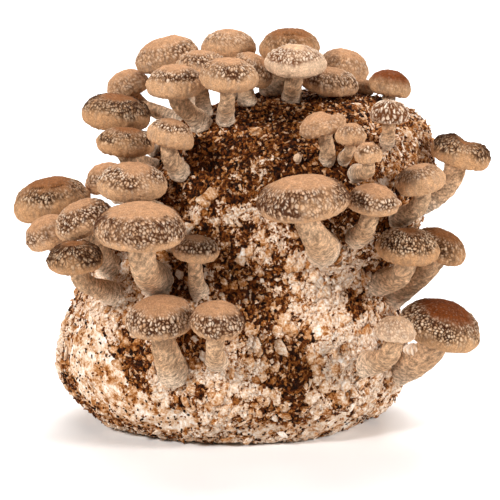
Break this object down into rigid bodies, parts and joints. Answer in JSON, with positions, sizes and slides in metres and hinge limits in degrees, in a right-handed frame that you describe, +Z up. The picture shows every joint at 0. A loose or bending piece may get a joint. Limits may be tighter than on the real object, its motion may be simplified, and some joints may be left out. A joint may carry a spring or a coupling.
{
  "type": "shiitake log",
  "caption": "Moulded sawdust growing block, white with mycelium and dark crumbs, covered in young shiitake mushrooms with scaly tan caps and curved stems",
  "frame": {"origin": "on the table, under the middle of the whole object's box", "axes": "+Z up, the pictured front faces -Y, +X is the viewer's right"},
  "size_m": [0.2743, 0.1996, 0.2268],
  "materials": {
    "substrate": "crumbly compressed sawdust grown through with matt white mycelium",
    "cap": "matt felted tan skin broken into pale scales",
    "stem": "matt fibrous beige"
  },
  "bodies": {
    "root": {"log": "substrate", "cap_front_1": "cap", "stem_front_1": "stem", "cap_front_2": "cap", "stem_front_2": "stem", "cap_front_3": "cap", "stem_front_3": "stem", "cap_front_4": "cap", "stem_front_4": "stem", "cap_front_5": "cap", "stem_front_5": "stem", "cap_front_8": "cap", "stem_front_8": "stem", "cap_left_5": "cap", "stem_left_5": "stem", "cap_left_6": "cap", "stem_left_6": "stem", "cap_left_7": "cap", "stem_left_7": "stem", "cap_left_8": "cap", "stem_left_8": "stem", "cap_right_1": "cap", "stem_right_1": "stem", "cap_right_2": "cap", "stem_right_2": "stem", "cap_right_3": "cap", "stem_right_3": "stem", "cap_right_4": "cap", "stem_right_4": "stem", "cap_right_5": "cap", "stem_right_5": "stem", "cap_right_6": "cap", "stem_right_6": "stem", "cap_shoulder_3": "cap", "stem_shoulder_3": "stem", "cap_top_3": "cap", "stem_top_3": "stem", "cap_top_6": "cap", "stem_top_6": "stem", "cap_top_9": "cap", "stem_top_9": "stem", "mushroom_front_6": "cap", "mushroom_front_7": "cap", "mushroom_left_1": "cap", "mushroom_left_2": "cap", "mushroom_left_3": "cap", "mushroom_left_4": "cap", "mushroom_shoulder_1": "cap", "mushroom_shoulder_2": "cap", "mushroom_top_1": "cap", "mushroom_top_2": "cap", "mushroom_top_4": "cap", "mushroom_top_5": "cap", "mushroom_top_7": "cap", "mushroom_top_8": "cap", "mushroom_top_10": "cap", "mushroom_top_11": "cap", "mushroom_top_12": "cap", "mushroom_top_13": "cap", "bud": "cap"}
  },
  "joints": []
}
